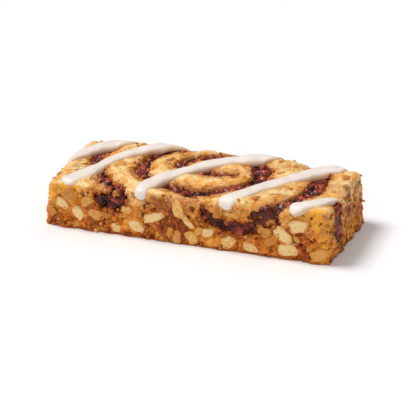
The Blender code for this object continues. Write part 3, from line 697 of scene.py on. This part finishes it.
def shapeDough():
    draw = np.random.default_rng(dough["seed"])
    crag = noiseAt(skin, slab["cragSpacing"]) + 0.5 * noiseAt(skin, slab["cragSpacing"] / 2.1)
    ribbon = smoothStep(0, 1, grooveDistance / slab["ribbonShoulder"])
    form = slab["cragDepth"] * crag * mix(1.0, 0.5, topShare) + slab["ribbonRise"] * ribbon * topShare
    lumpHeight, lumpCrevice, lumpTone = lumps(dough["lumpSize"], draw)
    crumbHeight, crumbCrevice, crumbTone = lumps(dough["crumbSize"], draw)
    grainHeight, grainCrevice, grainTone = lumps(dough["grainSize"], draw)
    swell = noiseAt(skin, dough["swellSize"], 17)
    pit = noiseAt(skin, dough["pitSize"], 16) + 0.25 * noiseAt(skin, 0.7 * mm, 18)
    pit = smoothStep(0.2, 0.5, pit) * (1 - topShare)
    fine = dough["lumpHeight"] * (0.35 * lumpHeight + 0.3 * lumpTone + 0.6 * swell - 0.35)
    fine -= dough["pitDepth"] * pit
    crumbly = smoothStep(-0.35, 0.45, noiseAt(skin, dough["crumblySize"], 14))
    crumb = dough["crumbHeight"] * (crumbHeight * (0.4 + 0.6 * crumbTone) - 0.7 * crumbCrevice - 0.2)
    grain = dough["grainHeight"] * (grainHeight * grainTone - 0.3)
    fine += (crumb + grain) * mix(0.45, 1.0, crumbly)
    fine *= mix(1.0, dough["topRelief"], topShare) * (1 - 0.7 * underIcing)
    along = np.stack([grooveDistance, nearestSwirl * curveStep / 7, 0 * skin[:, 0]], axis=1)
    crease = noiseAt(along, 1.5 * mm, 12) * smoothStep(0, 1.5 * mm, grooveDistance)
    layer = noiseAt(skin * np.array([1, 1, 0.25]), 0.9 * mm, 13)
    fine += dough["creaseHeight"] * crease * topShare * (1 - underIcing)
    fine += dough["layerHeight"] * layer * endShare
    seat, groove, owner = flakeSeats()
    levels = np.zeros(len(placedFlakes))
    for number in range(len(placedFlakes)):
        mine = owner == number
        levels[number] = fine[mine].mean() if mine.any() else 0
    fine = mix(fine, levels[owner] - 0.1 * mm, 0.78 * seat) - 0.08 * mm * groove
    total = form + fine - dough["trench"] * smoothStep(0.15, 0.9, fillShare)
    total = np.where(atFoot, np.minimum(total, 0.6 * mm), total)
    moved = skin + skinNormals * total[:, None]
    moved[:, 2] = np.maximum(moved[:, 2], 0)
    x, y, z = skin.T
    rightEnd = endShare * (x > 0)
    stainNoise = smoothStep(-0.6, 0.7, noiseAt(skin, 4 * mm, 5))
    # red-brown stain near the filling, browned patches and a browned foot, and painted shade beside the
    # icing lines on the top
    stainAndShade = 0.75 * smoothStep(dough["stainReach"], 0, fillDistance) * stainNoise
    stainAndShade = np.maximum(stainAndShade, patchShare(dough["frontBrown"], x, z, frontShare))
    stainAndShade = np.maximum(stainAndShade, patchShare(dough["endBrown"], y, z, rightEnd))
    stainAndShade = np.maximum(stainAndShade, patchShare(dough["topBrownAndShade"], x, y, topShare))
    nearFoot = smoothStep(dough["footBrown"], 0, z + 0.8 * mm * noiseAt(skin, 2 * mm, 6))
    stainAndShade = np.maximum(stainAndShade, 0.8 * nearFoot)
    stainAndShade *= 0.75 + 0.25 * crumbTone
    gold = patchShare(dough["frontGold"], x, z, smoothStep(0.05, 0.5, -skinNormals[:, 1]))
    gold = np.maximum(gold, 0.2 * smoothStep(0, 0.8, noiseAt(skin, 8 * mm, 8)) * (1 - topShare))
    edgeGold = 0.5 * smoothStep(0.1, 0.7, noiseAt(skin, 6 * mm, 9))
    edgeGold *= smoothStep(0.95, 0.7, skinNormals[:, 2])
    gold = np.maximum(gold, edgeGold * topShare)
    rim = smoothStep(dough["rimReach"], -dough["rimReach"], fillDistance)
    # painted shade: the dough is darkened in the crevices between lumps, crumbs and grains, in the pits and
    # in the groove round each flat flake
    crevice = 0.12 * lumpCrevice + (0.3 * crumbCrevice + 0.2 * grainCrevice) * mix(0.2, 1.0, crumbly)
    crevice = (crevice * mix(1.0, 0.4, topShare) + 0.75 * pit) * (1 - seat) + 0.08 * groove
    # the tone is partly painted light: it is lighter on the crumbs' tops, on the ridges of the creases
    # along the ribbons and towards the middle of each ribbon on the top, just where the relief rises; the
    # rest is the dough's own random tone, its pale layers at the ends and a paler right end
    tone = 0.25 * lumpTone + 0.2 * crumbTone + 0.1 * grainTone + 0.12 * crumbHeight - 0.305
    tone += 0.16 * crease * topShare + 0.5 * layer * endShare + 0.08 * rightEnd
    tone += topShare * (0.16 * smoothStep(1.5 * mm, 4.5 * mm, grooveDistance) + 0.01)
    pale = smoothStep(10 * mm, 17 * mm, z + 3 * mm * noiseAt(skin, 7 * mm, 15))
    attributes = {
        "tone": tone,
        "top": np.maximum(topShare, 0.75 * pale),
        "crevice": np.clip(crevice, 0, 1),
        "stainAndShade": stainAndShade,
        "gold": gold,
        "rim": rim,
    }
    return moved, attributes, total


doughPoints, doughAttributes, doughRelief = shapeDough()
print("dough shaped")


def buildDough():
    # the skin's quads, and one flat face over the underside
    foot = np.nonzero(atFoot)[0]
    a, b = unit[foot, 0], unit[foot, 1]
    around = np.select([b == -1, a == 1, b == 1], [a + 1, b + 3, 5 - a], 7 - b)
    faces = [*skinQuads.tolist(), foot[np.argsort(around)][::-1].tolist()]
    mount(buildMesh("baked_dough", doughPoints, faces, doughMaterial, doughAttributes), "dough", "bar")


buildDough()


# the filling: patches of the skin, set back a little and crumbly

filling = {
    "seed": 5,
    "recess": 0.7 * mm,
    "tuck": 2.2 * mm,  # how deep its edge goes under the dough
    "clumpSize": 2.2 * mm,
    "clumpHeight": 1.4 * mm,
    "grainSize": 0.9 * mm,
    "grainHeight": 0.18 * mm,
    "tornSize": 2.5 * mm,
    "thickness": 1.6 * mm,
    "wetPlace": (28.4, -20.6, 5.5),  # x, y and reach of the wet run over the front edge
}


def shapeFilling():
    draw = np.random.default_rng(filling["seed"])
    clumpHeight, clumpCrevice, clumpTone = lumps(filling["clumpSize"], draw)
    grainHeight, grainCrevice, grainTone = lumps(filling["grainSize"], draw)
    x, y, reach = (value * mm for value in filling["wetPlace"])
    wet = smoothStep(reach, reach * 0.5, np.hypot(skin[:, 0] - x, skin[:, 1] - y))
    wet *= skin[:, 2] > 11 * mm
    torn = sum((0.5 ** n) * noiseAt(skin, filling["tornSize"] / 2.1 ** n, 60 + n) for n in range(3))
    rough = filling["clumpHeight"] * (0.35 * clumpHeight * clumpTone + 0.9 * torn - 0.15)
    rough += filling["grainHeight"] * (grainHeight * grainTone - 0.3)
    crag = slab["cragDepth"] * noiseAt(skin, slab["cragSpacing"]) * mix(1.0, 0.5, topShare)
    offset = crag + rough * (1 - 0.8 * wet) * (1 - 0.5 * endShare) + (wet + 0.4 * endShare) * mm
    recess = filling["recess"] * (1 - endShare)
    offset -= mix(filling["tuck"], recess, smoothStep(0.02, 0.75, fillShare))
    # painted highlight and painted shade in the filling's tone: it is lighter where its torn relief, clumps
    # and grains stand up and darker in the crevices between clumps
    tone = np.clip(0.32 + 0.55 * torn + 0.15 * clumpTone + 0.15 * grainTone - 0.1 * clumpCrevice, 0, 1)
    tone = mix(tone, 0.34, wet) - 0.12 * frontShare * (skin[:, 0] < 0)
    points = skin + skinNormals * offset[:, None]
    points[:, 2] = np.maximum(points[:, 2], 0)
    wet = np.maximum(wet, 0.25 * (1 - endShare) * (1 - 0.5 * seamShare))
    return points, {"tone": tone, "wet": wet}


fillingPoints, fillingAttributes = shapeFilling()


def buildFilling():
    shown = (fillShare[skinQuads] > 0.01).any(1)
    for number, name in enumerate(swirls):
        quads = skinQuads[shown & (swirlHere[skinQuads] == number).any(1)]
        used, local = np.unique(quads, return_inverse=True)
        attributes = {key: values[used] for key, values in fillingAttributes.items()}
        faces = local.reshape(-1, 4)
        piece = buildMesh(name + "_filling", fillingPoints[used], faces, fillingMaterial, attributes)
        solidify = piece.modifiers.new("body", "SOLIDIFY")
        solidify.thickness = filling["thickness"]
        solidify.offset = -1
        mount(piece, "filling", name)


buildFilling()


# the icing lines

icing = {
    "thickness": 1.35 * mm,
    "lift": 0.5 * mm,
    "sunk": 1.2 * mm,
    "sag": 0.7 * mm,  # how far its edges go down into a groove
    "step": 0.5 * mm,
    "sides": 18,
    "roundEnd": 2.2 * mm,  # each line starts blunt and runs out thin
    "thinEnd": 5.0 * mm,
    "waver": 0.2,
    "spread": 1.36,
    "dome": 0.8,  # 1 is half an ellipse, less has steeper sides
}


def buildIcing():
    points, quads, thinEdgeAndShade = [], [], []
    start = 0
    for line, rows in enumerate(icingLines):
        curve = smoothCurve(rows, icing["step"])
        run = np.concatenate([[0], np.cumsum(np.hypot(*np.diff(curve[:, :2], axis=0).T))])
        toEnd = np.minimum(run / icing["roundEnd"], (run[-1] - run) / icing["thinEnd"])
        toEnd = np.clip(toEnd, 0.002, 1)
        size = np.sqrt(toEnd * (2 - toEnd))
        base = onTop(curve[:, 0], curve[:, 1])
        normal = topNormal(curve[:, 0], curve[:, 1])
        side = np.cross(normal, np.gradient(base, axis=0))
        side /= np.linalg.norm(side, axis=1, keepdims=True)
        half = curve[:, 2] / 2 * icing["spread"] * size
        half *= (1 + icing["waver"] * noiseAt(base, 6 * mm, 11 + line))
        lift = icing["lift"] * smoothStep(0, 1, normal[:, 2])
        thick = icing["thickness"] * size * np.clip(curve[:, 2] / (4.4 * mm), 0.3, 1)
        thick *= (1 + icing["waver"] * noiseAt(base, 4 * mm, 21 + line))
        ring = []
        for turn in np.linspace(0, math.pi, icing["sides"]):
            out = base + side * (half * math.cos(turn))[:, None]
            over = smoothStep(0.5 * mm, -0.5 * mm, nearestOnCurve(out[:, 0], out[:, 1], swirlPoints)[0])
            dome = math.sin(turn) ** icing["dome"]
            rise = (lift + thick) * dome - icing["sag"] * over * (1 - dome)
            ring.append(out + normal * rise[:, None])
        # the sides of the dome are tinted towards the dough: thin icing showing dough, and painted shade
        edges = np.abs(np.cos(np.linspace(0, math.pi, icing["sides"])))
        thinEdgeAndShade.append(np.tile(np.append(0.8 * smoothStep(0.6, 1.0, edges), (1, 1, 1)), len(curve)))
        for across in (-0.8, 0.0, 0.8):
            ring.append(base + side * (half * across)[:, None] - normal * icing["sunk"])
        ring = np.stack(ring, axis=1)
        count, around = ring.shape[:2]
        index = np.arange(count * around).reshape(count, around) + start
        beside = np.roll(index, -1, axis=1)
        quads.append(np.stack([index[:-1], index[1:], beside[1:], beside[:-1]], -1).reshape(-1, 4))
        points.append(ring.reshape(-1, 3))
        start += count * around
    attributes = {"thinEdgeAndShade": np.concatenate(thinEdgeAndShade)}
    piece = buildMesh("icing_lines", np.vstack(points), np.vstack(quads), icingMaterial, attributes)
    mount(piece, "dough", "bar")


buildIcing()


# the oat flakes, thin cupped discs pressed into the dough

def flakeShape(draw, length, width):
    rings, segments = flakes["rings"], flakes["segments"]
    angle = np.arange(segments) * math.tau / segments
    wobble = 1 - 0.04 * np.cos(4 * angle)
    for amount, waves in ((0.08, 3), (0.05, 5), (0.04, 8)):
        wobble += amount * np.sin(waves * angle + draw.uniform(0, 6))
    bendX, bendY = draw.uniform(-0.12, 0.05), draw.uniform(-0.12, 0.1)
    rim = np.stack([np.cos(angle), np.sin(angle)])
    rim = np.sign(rim) * np.abs(rim) ** flakes["squareness"] * wobble / 2
    upper, lower = [], []
    for ring in range(rings + 1):
        r = math.sin(ring / rings * math.pi / 2)
        x, y = r * rim[0] * length, r * rim[1] * width
        bow = (bendX * x ** 2 / length + bendY * y ** 2 / width) * 4
        thick = flakes["thickness"] / 2 * math.sqrt(max(1 - r ** 2, 0))
        crease = 0.14 * mm * np.exp(-(y / (0.1 * width)) ** 2) * (1 - r ** 2)
        upper.append(np.stack([x, y, bow + thick - crease], -1))
        lower.append(np.stack([x, y, bow - thick], -1))
    middle = [upper[0].mean(0, keepdims=True), lower[0].mean(0, keepdims=True)]
    return np.vstack([middle[0], *upper[1:], *lower[1:-1][::-1], middle[1]])


def buildFlakes():
    draw = np.random.default_rng(flakes["seed"] + 1)
    points, faces, tones, brans = [], [], [], []
    segments = flakes["segments"]
    start = 0
    for n, length, width, turn, tilt, paleness in placedFlakes:
        local = flakeShape(draw, length, width)
        axes = flakeAxes(n, turn, tilt, draw.random() < 0.5 or tilt > 0.5)
        near = [item[1] for item in skinTree.find_range(skin[n], length * 0.35)]
        level = doughRelief[n] if tilt > 0.5 else np.quantile(doughRelief[near], 0.65)
        lift = level + draw.uniform(0.0, 0.22) * mm
        if tilt > 0.5:
            lift -= width * 0.47
        points.append(local @ axes.T + skin[n] + skinNormals[n] * lift)
        ring = np.arange(len(local) - 2).reshape(-1, segments) + start + 1
        beside = np.roll(ring, -1, axis=1)
        faces += [[start, a, b] for a, b in zip(ring[0], beside[0])]
        faces += np.stack([ring[:-1], ring[1:], beside[1:], beside[:-1]], -1).reshape(-1, 4).tolist()
        faces += [[start + len(local) - 1, b, a] for a, b in zip(ring[-1], beside[-1])]
        tones.append(np.full(len(local), paleness))
        around = np.hypot(local[:, 0] / (length / 2), local[:, 1] / (width / 2))
        crease = 0.1 * np.exp(-(local[:, 1] / (0.08 * width)) ** 2) * (around < 0.8)
        ragged = around + 0.18 * noiseAt(local, 0.9 * mm, start)
        brans.append(np.clip(0.55 * smoothStep(0.6, 1.0, ragged) + crease, 0, 1))
        start += len(local)
    attributes = {"tone": np.concatenate(tones), "bran": np.concatenate(brans)}
    points = np.vstack(points)
    points[:, 2] = np.maximum(points[:, 2], 0)
    mount(buildMesh("oat_flakes", points, faces, oatMaterial, attributes), "dough", "bar")


buildFlakes()


# crumbs: lumpy grains scattered on a surface

crumbs = {
    "seed": 19,
    "kinds": 6,
    "doughCount": 1500,
    "doughSizes": (0.3 * mm, 1.3 * mm),
    "fillingCount": 140,
    "fillingSizes": (0.35 * mm, 0.9 * mm),
    "sugarCount": 3400,
    "sugarSizes": (0.18 * mm, 0.38 * mm),
}


def crumbKinds(draw, rounds):
    # a few lumpy balls, with more points the more rounds of splitting
    ball = bmesh.new()
    bmesh.ops.create_icosphere(ball, subdivisions=rounds, radius=0.5)
    corners = np.array([v.co for v in ball.verts])
    faces = np.array([[v.index for v in f.verts] for f in ball.faces])
    ball.free()
    kinds = []
    for kind in range(crumbs["kinds"]):
        swell = 1 + 0.7 * noiseAt(corners, 0.5, 50 + kind)
        kinds.append(corners * swell[:, None] * draw.uniform(0.7, 1.2, 3))
    return kinds, faces


def scatter(name, draw, chosen, sizes, surface, tones, material, slot, rounds=2, extra=None):
    kinds, faces = crumbKinds(draw, rounds)
    count = len(kinds[0])
    points, quads = [], []
    for n, size in zip(chosen, sizes):
        spin = np.linalg.qr(draw.normal(size=(3, 3)))[0]
        spin[0] *= np.linalg.det(spin)
        local = kinds[draw.integers(len(kinds))] * size
        quads.append(faces + count * len(points))
        points.append(local @ spin.T + surface[n] + skinNormals[n] * size * draw.uniform(0.0, 0.3))
    attributes = {"tone": np.repeat(tones, count)}
    for key, value in (extra or {}).items():
        attributes[key] = np.full(count * len(chosen), value)
    points = np.vstack(points)
    points[:, 2] = np.maximum(points[:, 2], 0)
    mount(buildMesh(name, points, np.vstack(quads), material, attributes), slot)


def buildCrumbs():
    draw = np.random.default_rng(crumbs["seed"])
    away = np.abs(fillDistance)
    weight = 0.12 * (1 - topShare) + 0.03 + 1.1 * smoothStep(1.1 * mm, 0, away)
    weight += 0.2 * smoothStep(0.97, 0.8, skinNormals[:, 2]) * topShare
    weight *= (1 - underIcing) * (skin[:, 2] > 0.8 * mm) * (fillDistance > -1.2 * mm)
    weight *= np.exp(2.0 * noiseAt(skin, 4 * mm, 33))
    chosen = draw.choice(len(skin), crumbs["doughCount"], replace=False, p=weight / weight.sum())
    low, high = crumbs["doughSizes"]
    sizes = low + (high - low) * draw.random(len(chosen)) ** 2.2
    tones = 0.12 + 0.6 * draw.random(len(chosen)) - 0.12 * smoothStep(1.5 * mm, 0, away[chosen])
    tones = np.clip(tones, 0, 1)
    scatter("dough_crumbs", draw, chosen, sizes, doughPoints, tones, crumbMaterial, "dough")
    weight = (fillDistance < -0.3 * mm) * (1 - underIcing) * (endShare < 0.1)
    weight *= fillingAttributes["wet"] < 0.3
    chosen = draw.choice(len(skin), crumbs["fillingCount"], replace=False, p=weight / weight.sum())
    low, high = crumbs["fillingSizes"]
    sizes = low + (high - low) * draw.random(len(chosen)) ** 1.6
    tones = 0.7 * draw.random(len(chosen))
    scatter("filling_grains", draw, chosen, sizes, fillingPoints, tones, fillingMaterial, "filling",
            extra={"wet": 0.4})
    weight = np.maximum(topShare, 0.35 * frontShare) * (1 - underIcing) * (fillDistance > 0)
    weight *= np.exp(noiseAt(skin, 5 * mm, 34))
    weight *= 0.3 + smoothStep(3 * mm, 0.4 * mm, fillDistance)
    chosen = draw.choice(len(skin), crumbs["sugarCount"], replace=False, p=weight / weight.sum())
    sizes = draw.uniform(*crumbs["sugarSizes"], len(chosen))
    tones = np.zeros(len(chosen))
    scatter("sugar_grains", draw, chosen, sizes, doughPoints, tones, sugarMaterial, "dough", 1)


buildCrumbs()


# floor, lights and camera

def buildFloor():
    half = 3.0
    corners = [(-half, -half, 0), (half, -half, 0), (half, half, 0), (-half, half, 0)]
    buildMesh("paper_floor", corners, [[0, 1, 2, 3]], paperMaterial)


lights = {
    "room": 0.245,  # strength of the white room all round
    "keyFrom": (-0.98, -0.04, 1.75),  # a large softbox to the left of the camera, high up
    "keyStrength": 2.32,
    "keyAngle": 24,  # how wide it looks from the bar, in degrees
    "fillFrom": (0.3, -1.0, 0.6),  # a wide, weak one at the camera
    "fillStrength": 0.64,
    "fillAngle": 60,
    "glintFrom": (0.2, 0.9, 1.6),  # a smaller one behind, for the glints on sugar and filling
    "glintStrength": 0.3,
    "glintAngle": 40,
}


def buildLights():
    world = bpy.data.worlds.new("white room")
    world.use_nodes = True
    world.node_tree.nodes["Background"].inputs["Color"].default_value = (1, 1, 1, 1)
    world.node_tree.nodes["Background"].inputs["Strength"].default_value = lights["room"]
    bpy.context.scene.world = world
    for name in ("key", "fill", "glint"):
        lamp = bpy.data.lights.new(name, "SUN")
        lamp.energy = lights[name + "Strength"]
        lamp.angle = math.radians(lights[name + "Angle"])
        softbox = bpy.data.objects.new(name + "_softbox", lamp)
        softbox.rotation_euler = Vector(lights[name + "From"]).to_track_quat("Z", "Y").to_euler()
        bpy.context.scene.collection.objects.link(softbox)


view = {
    "azimuth": 19.889,  # degrees round to the right of the front side
    "elevation": 24.998,
    "roll": -0.783,
    "distance": 550 * mm,
    "aside": 0.78 * mm,  # how far the camera stands to the right of the line to the bar's foot
    "raised": 5.5 * mm,  # and above it
    "centre": (0.8 * mm, 0, 0),
    "lens": 129.06,
}


def buildCamera():
    azimuth, elevation, roll = (math.radians(view[k]) for k in ("azimuth", "elevation", "roll"))
    level = math.cos(elevation)
    back = Vector((math.sin(azimuth) * level, -math.cos(azimuth) * level, math.sin(elevation)))
    right = (-back).cross(Vector((0, 0, 1))).normalized()
    up = right.cross(-back)
    place = Vector(view["centre"]) + back * view["distance"]
    place += right * view["aside"] + up * view["raised"]
    turned = Matrix((right, up, back)).transposed() @ Matrix.Rotation(roll, 3, "Z")
    lens = bpy.data.cameras.new("picture")
    lens.lens = view["lens"]
    lens.sensor_width = 36
    lens.clip_start = 0.01
    camera = bpy.data.objects.new("picture", lens)
    camera.matrix_world = Matrix.Translation(place) @ turned.to_4x4()
    bpy.context.scene.collection.objects.link(camera)
    bpy.context.scene.camera = camera


buildFloor()
buildLights()
buildCamera()
bpy.context.scene.view_settings.view_transform = "Standard"
print("floor, lights and camera ready")
